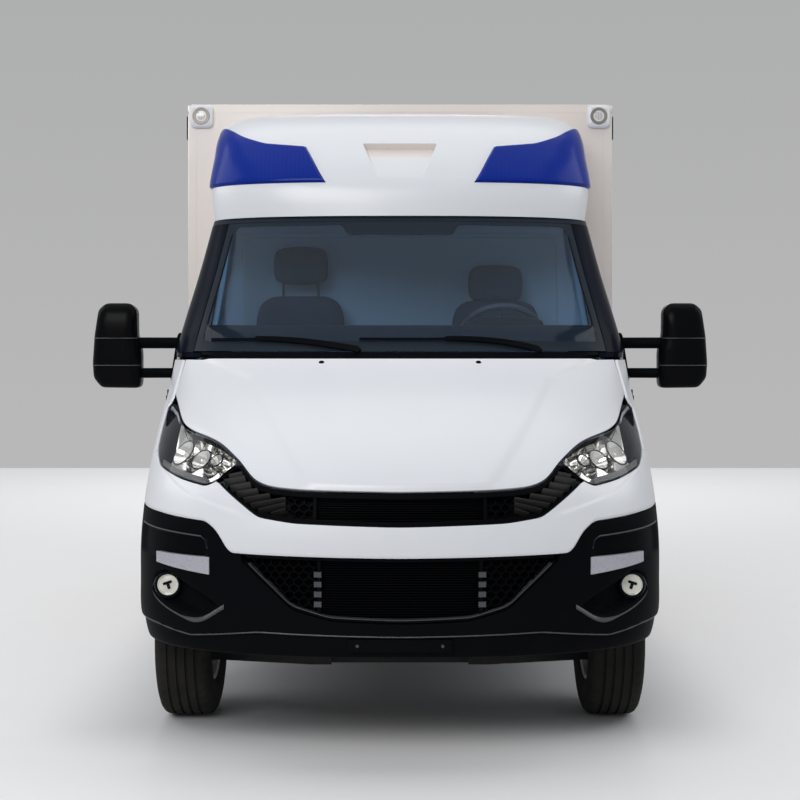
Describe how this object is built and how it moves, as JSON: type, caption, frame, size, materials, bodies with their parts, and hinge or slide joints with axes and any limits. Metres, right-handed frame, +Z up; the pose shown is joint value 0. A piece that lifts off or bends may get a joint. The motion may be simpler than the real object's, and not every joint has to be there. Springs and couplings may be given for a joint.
{
  "type": "van",
  "caption": "Box-bodied ambulance van: cab with roof fairing and blue beacon lenses, panel box on a ladder frame, hinged doors and bonnet, steered front wheels.",
  "frame": {"origin": "on the ground under the middle of the vehicle's bounding box", "axes": "+Z up, -Y towards the front bumper, +X to the left-hand side seen by the driver"},
  "size_m": [2.686, 5.95, 2.73],
  "materials": {
    "white_paint": "gloss",
    "box_paint": "gloss",
    "black_plastic": "matt",
    "dark_trim": "matt",
    "frame_paint": "satin",
    "steel": "satin",
    "iron": "matt",
    "glass": "gloss",
    "tinted_glass": "gloss",
    "blue_lens": "gloss",
    "lamp": "gloss",
    "fabric": "woven",
    "tyre": "matt",
    "rim_paint": "satin",
    "floor": "matt"
  },
  "bodies": {
    "chassis": {"frame": "frame_paint", "front_arms": "frame_paint", "rear_suspension": "frame_paint", "powertrain": "iron", "fuel_tank": "black_plastic", "exhaust": "steel", "cab_shell": "white_paint", "cab_pillars": "black_plastic", "windscreen": "glass", "roof_fairing": "white_paint", "beacons": "blue_lens", "bumper_band": "white_paint", "bumper_lower": "black_plastic", "grilles": "black_plastic", "front_lamps": "lamp", "front_wings": "white_paint", "wheel_liners": "black_plastic", "dashboard": "dark_trim", "seats": "fabric", "wipers": "black_plastic", "box_floor": "floor", "box_front_wall": "box_paint", "box_left_wall": "box_paint", "box_right_wall": "box_paint", "box_roof": "box_paint", "box_windows": "tinted_glass", "body_lamps": "lamp", "rear_bumper": "dark_trim"},
    "bonnet": {"bonnet": "white_paint"},
    "cab_door_left": {"cab_door_left": "white_paint", "door_glass_left": "glass", "mirror_left": "black_plastic"},
    "cab_door_right": {"cab_door_right": "white_paint", "door_glass_right": "glass", "mirror_right": "black_plastic"},
    "rear_door_left": {"rear_door_left": "box_paint", "rear_glass_left": "tinted_glass"},
    "rear_door_right": {"rear_door_right": "box_paint", "rear_glass_right": "tinted_glass"},
    "side_door": {"side_door": "box_paint", "side_glass": "tinted_glass"},
    "knuckle_left": {"knuckle_left": "iron"},
    "knuckle_right": {"knuckle_right": "iron"},
    "wheel_front_left": {"tyre_front_left": "tyre", "rim_front_left": "rim_paint"},
    "wheel_front_right": {"tyre_front_right": "tyre", "rim_front_right": "rim_paint"},
    "wheel_rear_left": {"tyre_rear_left": "tyre", "rim_rear_left": "rim_paint"},
    "wheel_rear_right": {"tyre_rear_right": "tyre", "rim_rear_right": "rim_paint"},
    "steering_wheel": {"steering_wheel": "dark_trim"}
  },
  "joints": [
    {"name": "steer_left", "type": "hinge", "parent": "chassis", "child": "knuckle_left", "pos_m": [0.7745, -1.975, 0.35], "axis": [0, 0, 1], "range_deg": [-35, 35]},
    {"name": "steer_right", "type": "hinge", "parent": "chassis", "child": "knuckle_right", "pos_m": [-0.7745, -1.975, 0.35], "axis": [0, 0, 1], "range_deg": [-35, 35]},
    {"name": "steering_turn", "type": "hinge", "parent": "chassis", "child": "steering_wheel", "pos_m": [0.46, -1.435, 1.56], "axis": [0, 0.766, 0.6428], "range_deg": [-500, 500]},
    {"name": "wheel_front_left_spin", "type": "hinge", "parent": "knuckle_left", "child": "wheel_front_left", "pos_m": [0.8625, -1.975, 0.35], "axis": [1, 0, 0], "continuous": true},
    {"name": "wheel_front_right_spin", "type": "hinge", "parent": "knuckle_right", "child": "wheel_front_right", "pos_m": [-0.8625, -1.975, 0.35], "axis": [1, 0, 0], "continuous": true},
    {"name": "wheel_rear_left_spin", "type": "hinge", "parent": "chassis", "child": "wheel_rear_left", "pos_m": [0.8625, 1.775, 0.35], "axis": [1, 0, 0], "continuous": true},
    {"name": "wheel_rear_right_spin", "type": "hinge", "parent": "chassis", "child": "wheel_rear_right", "pos_m": [-0.8625, 1.775, 0.35], "axis": [1, 0, 0], "continuous": true},
    {"name": "cab_door_left_hinge", "type": "hinge", "parent": "chassis", "child": "cab_door_left", "pos_m": [1.014, -1.688, 1.1], "axis": [0, 0, -1], "range_deg": [0, 70]},
    {"name": "cab_door_right_hinge", "type": "hinge", "parent": "chassis", "child": "cab_door_right", "pos_m": [-1.014, -1.688, 1.1], "axis": [0, 0, 1], "range_deg": [0, 70]},
    {"name": "bonnet_hinge", "type": "hinge", "parent": "chassis", "child": "bonnet", "pos_m": [0, -1.967, 1.464], "axis": [-1, 0, 0], "range_deg": [0, 50]},
    {"name": "rear_door_left_hinge", "type": "hinge", "parent": "chassis", "child": "rear_door_left", "pos_m": [1.058, 2.849, 1.7], "axis": [0, 0, -1], "range_deg": [0, 180]},
    {"name": "rear_door_right_hinge", "type": "hinge", "parent": "chassis", "child": "rear_door_right", "pos_m": [-1.058, 2.849, 1.7], "axis": [0, 0, 1], "range_deg": [0, 180]},
    {"name": "side_door_hinge", "type": "hinge", "parent": "chassis", "child": "side_door", "pos_m": [-1.058, -0.302, 1.7], "axis": [0, 0, 1], "range_deg": [0, 100]}
  ],
  "couplings": [
    {"joint": "steer_right", "follows": "steer_left", "ratio": 1},
    {"joint": "steering_turn", "follows": "steer_left", "ratio": 14}
  ]
}
